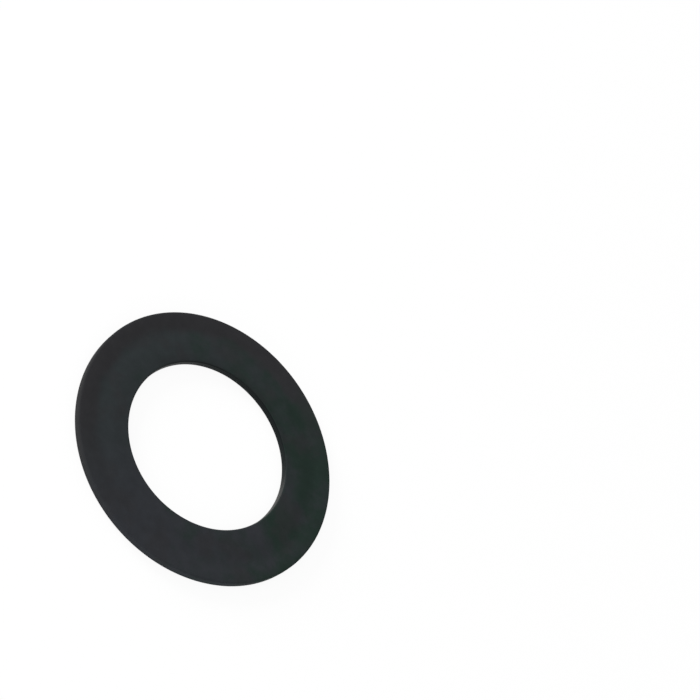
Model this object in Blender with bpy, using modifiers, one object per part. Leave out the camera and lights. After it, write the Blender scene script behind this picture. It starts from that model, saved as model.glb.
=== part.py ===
"""Flush valve seal: one flat moulded ring of black rubber.

The ring is pressed flat on the outlet of a cistern and keeps the water back.
Metres, +Z up. It lies on its lower face, and the origin is the middle of the hole at that face.
"""

import math

import bmesh
import bpy

# Driving dimensions.
HOLE_DIAMETER = 0.040
RING_WIDTH = 0.012  # from the hole's wall to the outer wall
THICKNESS = 0.002
EDGE_RADIUS = 0.0004  # the moulded rounding of all four edges of the section

# A rounding leaves at least this share of the section flat on each side.
FLAT_SHARE = 0.1

# How finely the round shapes are drawn.
TURN_STEPS = 144
CORNER_STEPS = 4

# Black rubber, matt as it leaves the mould. The colour is linear.
RUBBER_COLOUR = (0.026, 0.029, 0.031, 1.0)
RUBBER_ROUGHNESS = 0.6


def clear_scene():
    """Removes every object that the file opened with."""
    for obj in list(bpy.data.objects):
        bpy.data.objects.remove(obj)


def new_collection(name):
    """A collection of that name, linked to the scene."""
    collection = bpy.data.collections.new(name)
    bpy.context.scene.collection.children.link(collection)
    return collection


def rubber_material():
    """The seal's black rubber."""
    material = bpy.data.materials.new("black_rubber")
    material.use_nodes = True
    shader = material.node_tree.nodes["Principled BSDF"]
    shader.inputs["Base Color"].default_value = RUBBER_COLOUR
    shader.inputs["Roughness"].default_value = RUBBER_ROUGHNESS
    shader.inputs["Metallic"].default_value = 0.0
    return material


def section_points():
    """The section as (radius, height), from the top of the outer wall down, inwards and up."""
    rounding = min(EDGE_RADIUS, min(THICKNESS, RING_WIDTH) * (1 - FLAT_SHARE) / 2)
    inner = HOLE_DIAMETER / 2 + rounding
    outer = HOLE_DIAMETER / 2 + RING_WIDTH - rounding
    lower = rounding
    upper = THICKNESS - rounding
    # The middle of each rounded corner, and the direction in which its quarter turn starts.
    corners = (
        (outer, upper, math.pi / 2),
        (outer, lower, 0.0),
        (inner, lower, -math.pi / 2),
        (inner, upper, -math.pi),
    )
    points = []
    for middle_radius, middle_height, start in corners:
        for step in range(CORNER_STEPS + 1):
            angle = start - step / CORNER_STEPS * math.pi / 2
            radius = middle_radius + rounding * math.cos(angle)
            height = middle_height + rounding * math.sin(angle)
            points.append((radius, height))
    return points


def section_mesh(name):
    """The section as a closed loop of edges in the XZ plane, at +X."""
    loop = bmesh.new()
    corners = [loop.verts.new((radius, 0.0, height)) for radius, height in section_points()]
    for index, corner in enumerate(corners):
        loop.edges.new((corners[index - 1], corner))
    mesh = bpy.data.meshes.new(name)
    loop.to_mesh(mesh)
    loop.free()
    return mesh


def turn_round_z(obj):
    """Turns the object's section once round Z. A whole turn closes by itself, with no merging."""
    screw = obj.modifiers.new("turn", "SCREW")
    screw.axis = "Z"
    screw.angle = 2 * math.pi
    screw.steps = TURN_STEPS
    screw.render_steps = TURN_STEPS
    screw.use_smooth_shade = True


def keep_flats_flat(obj):
    """Keeps the smooth shading of the rounded edges off the wide flat faces beside them."""
    weighted = obj.modifiers.new("flat_faces", "WEIGHTED_NORMAL")
    weighted.mode = "FACE_AREA"


def seal_ring(collection, material):
    """The whole seal, a flat ring moulded in one piece."""
    mesh = section_mesh("seal_ring")
    mesh.materials.append(material)
    ring = bpy.data.objects.new("seal_ring", mesh)
    collection.objects.link(ring)
    turn_round_z(ring)
    keep_flats_flat(ring)
    return ring


clear_scene()
seal_ring(new_collection("flush_valve_seal"), rubber_material())
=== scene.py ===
"""Looks of the flush valve seal: one moulded rubber ring, lying on a pale studio floor."""

import math

import bmesh
import bpy
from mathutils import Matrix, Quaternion, Vector, noise


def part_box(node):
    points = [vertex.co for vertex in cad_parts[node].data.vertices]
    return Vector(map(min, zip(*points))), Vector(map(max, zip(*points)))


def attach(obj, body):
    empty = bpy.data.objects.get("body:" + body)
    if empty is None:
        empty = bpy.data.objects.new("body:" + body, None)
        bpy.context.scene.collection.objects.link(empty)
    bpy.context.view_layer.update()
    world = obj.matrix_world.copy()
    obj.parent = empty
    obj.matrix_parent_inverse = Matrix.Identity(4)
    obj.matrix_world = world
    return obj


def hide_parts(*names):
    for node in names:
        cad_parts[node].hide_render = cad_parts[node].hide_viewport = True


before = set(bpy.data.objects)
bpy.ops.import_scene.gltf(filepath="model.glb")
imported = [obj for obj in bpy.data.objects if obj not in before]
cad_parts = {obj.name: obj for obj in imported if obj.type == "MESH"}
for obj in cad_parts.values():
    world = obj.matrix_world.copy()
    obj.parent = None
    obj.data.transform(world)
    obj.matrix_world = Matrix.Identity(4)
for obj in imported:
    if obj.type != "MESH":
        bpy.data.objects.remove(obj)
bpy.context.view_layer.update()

# Seal ring
# A plain washer of carbon-filled EPDM rubber, pressed between the two plates of a heated mould
# and trimmed. It has no core, so it stretches, and loose it lies about a tenth of a millimetre
# out of round. Its four edges leave the mould rounded.
MM = 0.001
RING_NODE = "seal_ring"
ring_low, ring_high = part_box(RING_NODE)
RIM_RADIUS = ring_high.x
HOLE_RADIUS = min(vertex.co.xy.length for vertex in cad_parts[RING_NODE].data.vertices)
BOTTOM = ring_low.z
TOP = ring_high.z
MID_HEIGHT = (TOP + BOTTOM) / 2
EDGE_RADIUS = 0.4 * MM

# How finely the mesh is drawn.
TURN_STEPS = 480
CORNER_STEPS = 6
FACE_STEP = 0.28 * MM
WALL_STEP = 0.05 * MM

# Where the plates of the mould met, halfway up each wall, the trimmed flash leaves a fine line.
# The trimming is nicked, and leaves about half of the line's full height.
FLASH_HEIGHT = 0.04 * MM
FLASH_WIDTH = 0.08 * MM
FLASH_NICK_SIZE = 1.5 * MM
FLASH_LEFT = 0.5

# A low crest runs round both faces. Inwards they fall away towards the hole, and outwards into
# a shallow groove. Each valley has its radius, depth and width.
VALLEYS = ((20.3 * MM, 0.04 * MM, 1.9 * MM), (27.4 * MM, 0.27 * MM, 2.4 * MM))

# The faces are a little uneven besides, as moulded rubber is.
DIMPLE_SIZE = 7.0 * MM
DIMPLE_DEPTH = 0.03 * MM

# Out of round: a number of lobes, how far they stand out, and the turn at which the first is.
# Those without lobes are a rim slightly over its size and a hole slightly under it.
RIM_LOBES = (
    (0, 0.04 * MM, 0.0),
    (2, 0.06 * MM, math.radians(-42)),
    (3, 0.10 * MM, math.radians(8)),
    (4, 0.03 * MM, math.radians(-4)),
)
HOLE_LOBES = (
    (0, -0.12 * MM, 0.0),
    (2, 0.06 * MM, math.radians(37)),
    (3, 0.08 * MM, math.radians(18)),
)


def straight(start, end, step):
    """Points from start up to end, without end, about a step apart."""
    count = max(1, round((end - start).length / step))
    return [start.lerp(end, index / count) for index in range(count)]


def rounding(middle, start_angle):
    """Points of a quarter turn clockwise about middle, without the last."""
    points = []
    for index in range(CORNER_STEPS):
        angle = start_angle - math.pi / 2 * index / CORNER_STEPS
        points.append(middle + EDGE_RADIUS * Vector((math.cos(angle), math.sin(angle))))
    return points


def ring_section():
    """The ring's section as (radius, height), from the top of the rim down, inwards and up."""
    rim = RIM_RADIUS - EDGE_RADIUS
    hole = HOLE_RADIUS + EDGE_RADIUS
    lower = BOTTOM + EDGE_RADIUS
    upper = TOP - EDGE_RADIUS
    points = rounding(Vector((rim, upper)), math.pi / 2)
    points += straight(Vector((RIM_RADIUS, upper)), Vector((RIM_RADIUS, lower)), WALL_STEP)
    points += rounding(Vector((rim, lower)), 0.0)
    points += straight(Vector((rim, BOTTOM)), Vector((hole, BOTTOM)), FACE_STEP)
    points += rounding(Vector((hole, lower)), -math.pi / 2)
    points += straight(Vector((HOLE_RADIUS, lower)), Vector((HOLE_RADIUS, upper)), WALL_STEP)
    points += rounding(Vector((hole, upper)), -math.pi)
    points += straight(Vector((hole, TOP)), Vector((rim, TOP)), FACE_STEP)
    return points


def turned_round_z(section):
    """A mesh of that closed section, turned once round Z."""
    loop = bmesh.new()
    corners = [loop.verts.new((radius, 0.0, height)) for radius, height in section]
    for index, corner in enumerate(corners):
        loop.edges.new((corners[index - 1], corner))
    mesh = bpy.data.meshes.new("section")
    loop.to_mesh(mesh)
    loop.free()
    lathe = bpy.data.objects.new("lathe", mesh)
    bpy.context.scene.collection.objects.link(lathe)
    turn = lathe.modifiers.new("turn", "SCREW")
    turn.steps = TURN_STEPS
    turn.render_steps = TURN_STEPS
    turn.use_smooth_shade = True
    turned = bpy.data.meshes.new_from_object(lathe.evaluated_get(bpy.context.evaluated_depsgraph_get()))
    bpy.data.objects.remove(lathe)
    return turned


def lobes(shape, turn):
    """How far an edge of that out-of-round shape stands out at that turn."""
    return sum(height * math.cos(count * (turn - first)) for count, height, first in shape)


def hump(offset, width):
    """A smooth hump, 1 at its middle and almost gone two widths away."""
    return math.exp(-((offset / width) ** 2))


def sunk(point):
    """How far the face lies under its crest, at that point."""
    dimple = DIMPLE_DEPTH * (1 + noise.noise(point / DIMPLE_SIZE)) / 2
    return dimple + sum(depth * hump(point.xy.length - at, width) for at, depth, width in VALLEYS)


def as_it_lies(point):
    """Where a point of the true ring is on the real, soft one."""
    turn = math.atan2(point.y, point.x)
    radius = point.xy.length
    outward = (radius - HOLE_RADIUS) / (RIM_RADIUS - HOLE_RADIUS)
    above_middle = point.z - MID_HEIGHT
    face_share = (abs(above_middle) - (TOP - MID_HEIGHT - EDGE_RADIUS)) / EDGE_RADIUS
    height = point.z - math.copysign(max(0.0, face_share) * sunk(point), above_middle)
    radius += outward * lobes(RIM_LOBES, turn) + (1 - outward) * lobes(HOLE_LOBES, turn)
    flash = FLASH_HEIGHT * hump(above_middle, FLASH_WIDTH)
    flash *= FLASH_LEFT + noise.noise(point / FLASH_NICK_SIZE)
    radius += math.copysign(flash, outward - 0.5)
    return Vector((radius * math.cos(turn), radius * math.sin(turn), height))


def ring_mesh(name):
    """The ring as it leaves the mould, out of round and uneven."""
    mesh = turned_round_z(ring_section())
    mesh.name = name
    for vertex in mesh.vertices:
        vertex.co = as_it_lies(vertex.co)
    return mesh


def linear(hex_colour):
    """An sRGB hex colour as linear red, green and blue, with an alpha of 1."""
    shown = [int(hex_colour[start:start + 2], 16) / 255 for start in (1, 3, 5)]
    light = [value / 12.92 if value <= 0.04045 else ((value + 0.055) / 1.055) ** 2.4 for value in shown]
    return (*light, 1.0)


def add(tree, kind, settings, inputs):
    """Adds a node to the tree. An input that is given a socket is linked to it."""
    made = tree.nodes.new(kind)
    for name, value in settings.items():
        setattr(made, name, value)
    for name, value in inputs.items():
        if isinstance(value, bpy.types.NodeSocket):
            tree.links.new(value, made.inputs[name])
        else:
            made.inputs[name].default_value = value
    return made


# EPDM filled with carbon black: near-black, with an index of about 1.5. Its skin copies the
# mould's plates, which were turned and then blasted, so faint rings run under a fine matt
# grain. Wax from the rubber blooms on the faces as a thin bluish haze. Where the ring is held,
# fingers have thinned that haze, and from the groove outwards they have wiped it to a plain
# grey. The hole was formed on a smooth core pin, so its wall shines most. On one side of the
# hole, its wall and a little of the face beside it are painted in a deep black shade.
BARE_RUBBER = "#1c2924"
BLOOMED_RUBBER = "#2a2c30"
FINGERED_RUBBER = "#28282a"
WORN_RUBBER = "#252526"
HOLE_WALL_RUBBER = "#313231"
PAINTED_SHADE_RUBBER = "#050c0d"
RUBBER_IOR = 1.5
RUBBER_ROUGHNESS = 0.9
HOLE_WALL_ROUGHNESS = 0.5
RUBBER_SHINE = 0.1

# The bloom lies in patches. Over them lies painted light: the bloom is made thicker towards one
# side of the ring, and that makes that side lighter. The pattern's number says which of the
# noise's many layouts is taken. Its share, as each pair called a share below, says where it
# starts and where it is full.
BLOOM_SIZE = 8 * MM
BLOOM_PATTERN = 10.0
BLOOM_DETAIL = 4.0
BLOOM_RAGGEDNESS = 0.6
BLOOM_PATCHINESS = 2.5
PAINTED_LIGHT_SIDE = Vector((-0.64, -0.77, 0.0))
PAINTED_LIGHT_LEAN = 0.5
BLOOM_SHARE = (0.68, 1.44)

# Fingers hold another side. They thin the bloom, and take it off outside a line that wanders
# with its patches.
HELD_SIDE = Vector((-0.94, 0.34, 0.0))
HELD_SHARE = (-0.4, 0.5)
HELD_BLOOM = 0.7
FINGERED_FROM = 26.0 * MM
FINGERED_FULL = 29.0 * MM
FINGERED_WANDER = 6 * MM

# Elsewhere their prints are fainter.
PRINTS_SHARE = (0.5, 0.62)
PRINTS_DEPTH = 0.5

# The side of the hole painted in deep black shade. A little of that painted shade reaches out onto the
# face.
PAINTED_SHADE_SIDE = Vector((-0.26, 0.97, 0.0))
PAINTED_SHADE_SHARE = (0.14, 0.5)
PAINTED_SHADE_FROM = 22.5 * MM
PAINTED_SHADE_FULL = 20.0 * MM
PAINTED_SHADE_DEPTH = 0.15

# How level the surface still is where a worn edge or the hole's wall starts, and where it is
# fully that.
WORN_LEVEL = (0.98, 0.7)
WALL_LEVEL = (0.93, 0.65)

# Sizes and depths of the skin's patterns. The real grain is about 0.05 mm and the plates'
# rings about 0.1 mm apart, too fine to show, so they are drawn at 0.3 and 0.5 mm.
MOTTLE_SIZE = 2.2 * MM
MOTTLE_DETAIL = 2.0
MOTTLE_DEPTH = 0.012 * MM
MOTTLE_SHADE = 0.16
GRAIN_SIZE = 0.3 * MM
GRAIN_DETAIL = 1.0
GRAIN_DEPTH = 0.008 * MM
GRAIN_SHADE = 0.08
RINGS_SIZE = 0.5 * MM
RINGS_DETAIL = 1.0
RINGS_DEPTH = 0.003 * MM

# Inputs and output of a colour Mix node, whose names aren't unique.
MIX_A, MIX_B, MIX_RESULT = 6, 7, 2


def held_by_fingers(tree, place):
    """How far a spot is on the side that fingers hold, from 0 to 1."""
    towards = add(
        tree,
        "ShaderNodeVectorMath",
        {"operation": "DOT_PRODUCT"},
        {0: place, 1: HELD_SIDE / RIM_RADIUS},
    )
    held = add(
        tree,
        "ShaderNodeMapRange",
        {"interpolation_type": "SMOOTHSTEP"},
        {"Value": towards.outputs["Value"], "From Min": HELD_SHARE[0], "From Max": HELD_SHARE[1]},
    )
    return held.outputs[0]


def on_painted_shade_side(tree, place, radius):
    """How far a spot is on the side of the hole that is painted in shade, from 0 to 1."""
    towards = add(
        tree, "ShaderNodeVectorMath", {"operation": "DOT_PRODUCT"}, {0: place, 1: PAINTED_SHADE_SIDE}
    )
    share = add(
        tree, "ShaderNodeMath", {"operation": "DIVIDE"}, {0: towards.outputs["Value"], 1: radius}
    )
    painted_shade = add(
        tree,
        "ShaderNodeMapRange",
        {"interpolation_type": "SMOOTHSTEP"},
        {"Value": share.outputs[0], "From Min": PAINTED_SHADE_SHARE[0], "From Max": PAINTED_SHADE_SHARE[1]},
    )
    return painted_shade.outputs[0]


def on_hole_wall(tree, level, radius):
    """How far a spot is on the hole's wall, from 0 to 1."""
    inner_half = add(
        tree,
        "ShaderNodeMath",
        {"operation": "LESS_THAN"},
        {0: radius, 1: (HOLE_RADIUS + RIM_RADIUS) / 2},
    )
    on_wall = add(
        tree,
        "ShaderNodeMapRange",
        {"interpolation_type": "SMOOTHSTEP"},
        {
            "Value": level,
            "From Min": WALL_LEVEL[0],
            "From Max": WALL_LEVEL[1],
            "To Max": inner_half.outputs[0],
        },
    )
    return on_wall.outputs[0]


def bloomed_with_painted_light(tree, place, patches, held):
    """Bare rubber under its bloom, which is thinner where the ring is held, and which carries painted
    light that makes one side lighter.
    """
    thinned = add(tree, "ShaderNodeMapRange", {}, {"Value": held, "To Min": 1.0, "To Max": HELD_BLOOM})
    # Painted light: this lean thickens the bloom towards one side, so that side renders lighter.
    painted_light = add(
        tree,
        "ShaderNodeVectorMath",
        {"operation": "DOT_PRODUCT"},
        {0: place, 1: PAINTED_LIGHT_LEAN * PAINTED_LIGHT_SIDE / RIM_RADIUS},
    )
    wax_and_painted_light = add(
        tree,
        "ShaderNodeMath",
        {"operation": "MULTIPLY_ADD"},
        {0: patches, 1: BLOOM_PATCHINESS, 2: painted_light.outputs["Value"]},
    )
    bloom_and_painted_light = add(
        tree,
        "ShaderNodeMapRange",
        {"interpolation_type": "SMOOTHSTEP"},
        {
            "Value": wax_and_painted_light.outputs[0],
            "From Min": BLOOM_SHARE[0],
            "From Max": BLOOM_SHARE[1],
            "To Max": thinned.outputs[0],
        },
    )
    skin = add(
        tree,
        "ShaderNodeMix",
        {"data_type": "RGBA"},
        {0: bloom_and_painted_light.outputs[0], MIX_A: linear(BARE_RUBBER), MIX_B: linear(BLOOMED_RUBBER)},
    )
    return skin.outputs[MIX_RESULT]


def fingered(tree, skin, radius, patches, smudges, held):
    """That skin, wiped by fingers from the groove outwards and marked by prints elsewhere."""
    wandering = add(
        tree,
        "ShaderNodeMath",
        {"operation": "MULTIPLY_ADD"},
        {0: patches, 1: FINGERED_WANDER, 2: radius},
    )
    wiped = add(
        tree,
        "ShaderNodeMapRange",
        {"interpolation_type": "SMOOTHSTEP"},
        {
            "Value": wandering.outputs[0],
            "From Min": FINGERED_FROM + FINGERED_WANDER / 2,
            "From Max": FINGERED_FULL + FINGERED_WANDER / 2,
            "To Max": held,
        },
    )
    prints = add(
        tree,
        "ShaderNodeMapRange",
        {"interpolation_type": "SMOOTHSTEP"},
        {
            "Value": smudges,
            "From Min": PRINTS_SHARE[0],
            "From Max": PRINTS_SHARE[1],
            "To Max": PRINTS_DEPTH,
        },
    )
    touched = add(
        tree, "ShaderNodeMath", {"operation": "MAXIMUM"}, {0: wiped.outputs[0], 1: prints.outputs[0]}
    )
    skin = add(
        tree,
        "ShaderNodeMix",
        {"data_type": "RGBA"},
        {0: touched.outputs[0], MIX_A: skin, MIX_B: linear(FINGERED_RUBBER)},
    )
    return skin.outputs[MIX_RESULT]


def painted_shade_near_hole(tree, skin, radius, painted_shade):
    """That skin, with painted shade a little darker on the face beside the shaded side of the hole."""
    near_hole = add(
        tree,
        "ShaderNodeMapRange",
        {"interpolation_type": "SMOOTHSTEP"},
        {"Value": radius, "From Min": PAINTED_SHADE_FROM, "From Max": PAINTED_SHADE_FULL, "To Max": PAINTED_SHADE_DEPTH},
    )
    darker = add(
        tree, "ShaderNodeMath", {"operation": "MULTIPLY"}, {0: near_hole.outputs[0], 1: painted_shade}
    )
    skin = add(
        tree,
        "ShaderNodeMix",
        {"data_type": "RGBA"},
        {0: darker.outputs[0], MIX_A: skin, MIX_B: linear(PAINTED_SHADE_RUBBER)},
    )
    return skin.outputs[MIX_RESULT]


def worn_at_edges(tree, skin, level, held):
    """That skin, worn at the edges and walls where the ring is held."""
    worn = add(
        tree,
        "ShaderNodeMapRange",
        {"interpolation_type": "SMOOTHSTEP"},
        {"Value": level, "From Min": WORN_LEVEL[0], "From Max": WORN_LEVEL[1], "To Max": held},
    )
    skin = add(
        tree,
        "ShaderNodeMix",
        {"data_type": "RGBA"},
        {0: worn.outputs[0], MIX_A: skin, MIX_B: linear(WORN_RUBBER)},
    )
    return skin.outputs[MIX_RESULT]


def walled(tree, skin, on_wall, painted_shade):
    """That skin, with the hole's wall in its own grey and, on one side, in a painted deep black shade.
    """
    wall = add(
        tree,
        "ShaderNodeMix",
        {"data_type": "RGBA"},
        {0: painted_shade, MIX_A: linear(HOLE_WALL_RUBBER), MIX_B: linear(PAINTED_SHADE_RUBBER)},
    )
    skin = add(
        tree,
        "ShaderNodeMix",
        {"data_type": "RGBA"},
        {0: on_wall, MIX_A: skin, MIX_B: wall.outputs[MIX_RESULT]},
    )
    return skin.outputs[MIX_RESULT]


def skin_patterns(tree, place, radius):
    """What the mottle, the grain and the rings come to: a shade, and a height in metres."""
    mottle = add(
        tree,
        "ShaderNodeTexNoise",
        {},
        {"Vector": place, "Scale": 1 / MOTTLE_SIZE, "Detail": MOTTLE_DETAIL},
    )
    grain = add(
        tree,
        "ShaderNodeTexNoise",
        {},
        {"Vector": place, "Scale": 1 / GRAIN_SIZE, "Detail": GRAIN_DETAIL},
    )
    rings = add(
        tree,
        "ShaderNodeTexNoise",
        {"noise_dimensions": "1D"},
        {"W": radius, "Scale": 1 / RINGS_SIZE, "Detail": RINGS_DETAIL},
    )
    shade = 1.0
    height = 0.0
    for pattern, pattern_shade, depth in (
        (mottle, MOTTLE_SHADE, MOTTLE_DEPTH),
        (grain, GRAIN_SHADE, GRAIN_DEPTH),
        (rings, 0.0, RINGS_DEPTH),
    ):
        value = pattern.outputs["Fac"]
        lighter = add(
            tree,
            "ShaderNodeMapRange",
            {"clamp": False},
            {"Value": value, "To Min": 1 - pattern_shade, "To Max": 1 + pattern_shade},
        )
        shade = add(
            tree, "ShaderNodeMath", {"operation": "MULTIPLY"}, {0: shade, 1: lighter.outputs[0]}
        ).outputs[0]
        height = add(
            tree, "ShaderNodeMath", {"operation": "MULTIPLY_ADD"}, {0: value, 1: depth, 2: height}
        ).outputs[0]
    return shade, height


def moulded_epdm(name):
    """The matt black rubber, from the object's own coordinates."""
    material = bpy.data.materials.new(name)
    material.use_nodes = True
    tree = material.node_tree
    shader = tree.nodes["Principled BSDF"]
    coordinates = add(tree, "ShaderNodeTexCoord", {}, {})
    place = coordinates.outputs["Object"]

    # How far a spot is from the ring's axis.
    flat = add(tree, "ShaderNodeVectorMath", {"operation": "MULTIPLY"}, {0: place, 1: (1, 1, 0)})
    radius = add(tree, "ShaderNodeVectorMath", {"operation": "LENGTH"}, {0: flat.outputs[0]})
    radius = radius.outputs["Value"]

    # The edges and walls are wherever the surface leans away from level.
    facing = add(tree, "ShaderNodeSeparateXYZ", {}, {"Vector": coordinates.outputs["Normal"]})
    level = add(tree, "ShaderNodeMath", {"operation": "ABSOLUTE"}, {0: facing.outputs["Z"]})
    level = level.outputs[0]
    held = held_by_fingers(tree, place)
    # Painted shade: one side of the hole, and the face beside it, is coloured darker.
    painted_shade = on_painted_shade_side(tree, place, radius)
    on_wall = on_hole_wall(tree, level, radius)

    # One noise gives two patterns of the same size: its red the patches, its green the prints.
    clouds = add(
        tree,
        "ShaderNodeTexNoise",
        {"noise_dimensions": "4D"},
        {
            "Vector": place,
            "W": BLOOM_PATTERN,
            "Scale": 1 / BLOOM_SIZE,
            "Detail": BLOOM_DETAIL,
            "Roughness": BLOOM_RAGGEDNESS,
        },
    )
    clouds = add(tree, "ShaderNodeSeparateColor", {}, {"Color": clouds.outputs["Color"]})
    patches = clouds.outputs["Red"]
    smudges = clouds.outputs["Green"]

    skin = bloomed_with_painted_light(tree, place, patches, held)
    skin = fingered(tree, skin, radius, patches, smudges, held)
    # Painted shade on the face beside one side of the hole.
    skin = painted_shade_near_hole(tree, skin, radius, painted_shade)
    skin = worn_at_edges(tree, skin, level, held)
    skin = walled(tree, skin, on_wall, painted_shade)
    shade, height = skin_patterns(tree, place, radius)
    skin = add(tree, "ShaderNodeVectorMath", {"operation": "SCALE"}, {0: skin, "Scale": shade})
    roughness = add(
        tree,
        "ShaderNodeMapRange",
        {},
        {"Value": on_wall, "To Min": RUBBER_ROUGHNESS, "To Max": HOLE_WALL_ROUGHNESS},
    )
    # The height is in metres already, so the bump's own distance is 1.
    bump = add(tree, "ShaderNodeBump", {}, {"Height": height, "Distance": 1.0})
    tree.links.new(skin.outputs[0], shader.inputs["Base Color"])
    tree.links.new(roughness.outputs[0], shader.inputs["Roughness"])
    tree.links.new(bump.outputs[0], shader.inputs["Normal"])
    shader.inputs["IOR"].default_value = RUBBER_IOR
    shader.inputs["Specular IOR Level"].default_value = RUBBER_SHINE
    return material


moulded_seal = bpy.data.objects.new("moulded_seal", ring_mesh("moulded_seal"))
bpy.context.scene.collection.objects.link(moulded_seal)
moulded_seal.data.materials.append(moulded_epdm("moulded_epdm_rubber"))
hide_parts(RING_NODE)
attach(moulded_seal, "root")

# Floor
# A sheet of matt white laminate just under the ring, wide enough to fill every view. The camera
# and the gloss see most of it as plain white, and the rest takes the lamps and the ring's shadow.
FLOOR_SIZE = 6.0
FLOOR_GAP = 0.02 * MM
FLOOR_COLOUR = "#fafafa"
FLOOR_GLOW_COLOUR = "#ffffff"
FLOOR_GLOW_SHARE = 0.91


def floor_mesh(name):
    """One square, centred under the ring."""
    square = bmesh.new()
    bmesh.ops.create_grid(square, x_segments=1, y_segments=1, size=FLOOR_SIZE / 2)
    bmesh.ops.translate(square, verts=square.verts, vec=(0.0, 0.0, BOTTOM - FLOOR_GAP))
    mesh = bpy.data.meshes.new(name)
    square.to_mesh(mesh)
    square.free()
    return mesh


def white_laminate(name):
    """Matt white that takes shadows, mixed with plain white where the camera or a gloss looks."""
    material = bpy.data.materials.new(name)
    material.use_nodes = True
    tree = material.node_tree
    tree.nodes.clear()
    matt = add(tree, "ShaderNodeBsdfDiffuse", {}, {"Color": linear(FLOOR_COLOUR)})
    glow = add(tree, "ShaderNodeEmission", {}, {"Color": linear(FLOOR_GLOW_COLOUR), "Strength": 1.0})
    rays = add(tree, "ShaderNodeLightPath", {}, {}).outputs
    looked_at = rays["Is Camera Ray"]
    for ray in ("Is Glossy Ray", "Is Transmission Ray"):
        larger = add(tree, "ShaderNodeMath", {"operation": "MAXIMUM"}, {0: looked_at, 1: rays[ray]})
        looked_at = larger.outputs[0]
    share = add(
        tree, "ShaderNodeMath", {"operation": "MULTIPLY"}, {0: looked_at, 1: FLOOR_GLOW_SHARE}
    )
    both = add(
        tree,
        "ShaderNodeMixShader",
        {},
        {0: share.outputs[0], 1: matt.outputs[0], 2: glow.outputs[0]},
    )
    add(tree, "ShaderNodeOutputMaterial", {}, {"Surface": both.outputs[0]})
    return material


floor = bpy.data.objects.new("floor", floor_mesh("floor"))
bpy.context.scene.collection.objects.link(floor)
floor.data.materials.append(white_laminate("white_laminate"))

# Light
# Two round softboxes stand low, so that their light rakes over the face: a strong one at the
# left, and a weak one in front at the right. The room adds an even white light, a little paler
# towards the horizon than overhead.
SOFTBOX_SIZE = 0.45
SOFTBOX_DISTANCE = 1.2
KEY_TURN = math.radians(180)
KEY_RISE = math.radians(14)
KEY_WATTS = 17.0
FILL_TURN = math.radians(300)
FILL_RISE = math.radians(14)
FILL_WATTS = 5.0
ROOM_COLOUR = "#ffffff"
ROOM_OVERHEAD = 0.7
ROOM_HORIZON = 0.9
HORIZON_TOP = math.radians(18)


def direction(turn, rise):
    """The direction at that turn round Z from +X, and that rise over the floor."""
    return Vector((math.cos(turn) * math.cos(rise), math.sin(turn) * math.cos(rise), math.sin(rise)))


def add_softbox(name, turn, rise, watts):
    """A round softbox that faces the ring, and that the camera doesn't see."""
    lamp = bpy.data.lights.new(name, "AREA")
    lamp.shape = "DISK"
    lamp.size = SOFTBOX_SIZE
    lamp.energy = watts
    softbox = bpy.data.objects.new(name, lamp)
    bpy.context.scene.collection.objects.link(softbox)
    towards = direction(turn, rise)
    softbox.location = towards * SOFTBOX_DISTANCE
    softbox.rotation_mode = "QUATERNION"
    softbox.rotation_quaternion = (-towards).to_track_quat("-Z", "Y")
    softbox.visible_camera = False


def pale_room(name):
    """A world whose light falls off a little from the horizon up."""
    room = bpy.data.worlds.new(name)
    room.use_nodes = True
    tree = room.node_tree
    background = tree.nodes["Background"]
    look = add(tree, "ShaderNodeTexCoord", {}, {})
    rise = add(tree, "ShaderNodeSeparateXYZ", {}, {"Vector": look.outputs["Generated"]})
    strength = add(
        tree,
        "ShaderNodeMapRange",
        {"interpolation_type": "SMOOTHSTEP"},
        {
            "Value": rise.outputs["Z"],
            "From Min": 0.0,
            "From Max": math.sin(HORIZON_TOP),
            "To Min": ROOM_HORIZON,
            "To Max": ROOM_OVERHEAD,
        },
    )
    tree.links.new(strength.outputs[0], background.inputs["Strength"])
    background.inputs["Color"].default_value = linear(ROOM_COLOUR)
    return room


add_softbox("key_softbox", KEY_TURN, KEY_RISE, KEY_WATTS)
add_softbox("fill_softbox", FILL_TURN, FILL_RISE, FILL_WATTS)
bpy.context.scene.world = pale_room("room")

# Camera
# It looks at the ring's face from the photograph's angle, turned round its own line of sight
# as the photograph is, with the ring's middle where it lies in that square picture.
PICTURE_SIDE = 700
RING_PIXEL = Vector((204.65, 447.84))
FOCAL_PIXELS = 1968
SENSOR_WIDTH = 36.0
CAMERA_TURN = math.radians(-90)
CAMERA_RISE = math.radians(50.57)
CAMERA_ROLL = math.radians(53.77)
CAMERA_DISTANCE = 0.4337
NEAREST_SEEN = 0.01
FARTHEST_SEEN = 20.0

off_centre = (RING_PIXEL - Vector((PICTURE_SIDE, PICTURE_SIDE)) / 2) / FOCAL_PIXELS
to_ring = Vector((off_centre.x, -off_centre.y, -1.0)).normalized()
ahead = Vector((0.0, 0.0, -1.0))
backward = direction(CAMERA_TURN, CAMERA_RISE)
aimed = (-backward).to_track_quat("-Z", "Y")
rolled = aimed @ Quaternion((0.0, 0.0, 1.0), CAMERA_ROLL)
lens = bpy.data.cameras.new("camera")
lens.sensor_width = SENSOR_WIDTH
lens.lens = FOCAL_PIXELS * SENSOR_WIDTH / PICTURE_SIDE
lens.clip_start = NEAREST_SEEN
lens.clip_end = FARTHEST_SEEN
camera = bpy.data.objects.new("camera", lens)
bpy.context.scene.collection.objects.link(camera)
camera.rotation_mode = "QUATERNION"
camera.rotation_quaternion = rolled @ ahead.rotation_difference(to_ring).inverted()
camera.location = backward * CAMERA_DISTANCE
bpy.context.scene.camera = camera
bpy.context.scene.view_settings.view_transform = "Standard"
